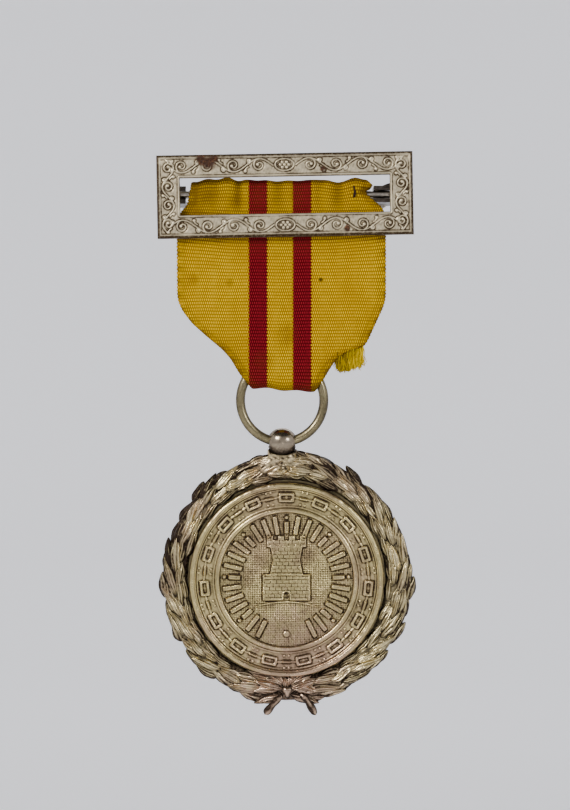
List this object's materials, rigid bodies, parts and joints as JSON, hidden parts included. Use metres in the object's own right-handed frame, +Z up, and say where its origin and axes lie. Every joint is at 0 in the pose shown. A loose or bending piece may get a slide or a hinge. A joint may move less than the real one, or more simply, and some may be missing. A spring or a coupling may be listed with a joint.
{
  "type": "service medal",
  "caption": "Round laurel-wreathed service medal hanging by a ball and ring from a striped ribbon, with an engraved buckle and a hinged brooch needle behind it.",
  "frame": {"origin": "middle of the closed brooch needle, on its axis", "axes": "the medal hangs as it is worn: +Z up, the obverse faces -Y, +X to the right of a viewer who faces the obverse"},
  "size_m": [0.0374, 0.0079, 0.0809],
  "materials": {
    "silver_plate": "worn silver plate, satin",
    "steel": "dull grey-brown",
    "ribbon": "ribbed weave, yellow with two red stripes",
    "dark_thread": "matte thread",
    "yellow_thread": "matte thread",
    "nickel": "polished, slightly tarnished",
    "medal_silver": "tarnished silver, brown in the recesses"
  },
  "bodies": {
    "brooch": {"buckle_frame": "silver_plate", "ribbon_bar": "steel", "hinge_bracket": "steel", "hinge_rivet": "steel", "pin_catch": "steel"},
    "needle": {"needle": "steel"},
    "ribbon": {"ribbon_drape": "ribbon", "frayed_end": "ribbon", "tack_stitch": "dark_thread", "back_seam": "yellow_thread"},
    "ribbon_end": {"ribbon_loop": "ribbon"},
    "ring": {"suspension_ring": "nickel"},
    "medal": {"suspension_ball": "nickel", "ball_collar": "medal_silver", "wreath": "medal_silver", "wreath_bow": "medal_silver", "obverse_disc": "medal_silver", "reverse_disc": "medal_silver"}
  },
  "joints": [
    {"name": "needle_swing", "type": "hinge", "parent": "brooch", "child": "needle", "pos_m": [0.0142, 0, 0], "axis": [0, 0, -1], "range_deg": [0, 90]},
    {"name": "ribbon_swing", "type": "hinge", "parent": "brooch", "child": "ribbon", "pos_m": [0, -0.0039, 0], "axis": [1, 0, 0], "range_deg": [0, 45]},
    {"name": "loop_swing", "type": "hinge", "parent": "ribbon", "child": "ribbon_end", "pos_m": [0, -0.0039, -0.0222], "axis": [1, 0, 0], "range_deg": [-30, 30]},
    {"name": "ring_turn", "type": "hinge", "parent": "ribbon_end", "child": "ring", "pos_m": [0, -0.0039, -0.03], "axis": [0, 1, 0], "range_deg": [-45, 45]},
    {"name": "medal_swing", "type": "hinge", "parent": "ring", "child": "medal", "pos_m": [0, -0.0039, -0.03608], "axis": [1, 0, 0], "range_deg": [-80, 80]}
  ]
}
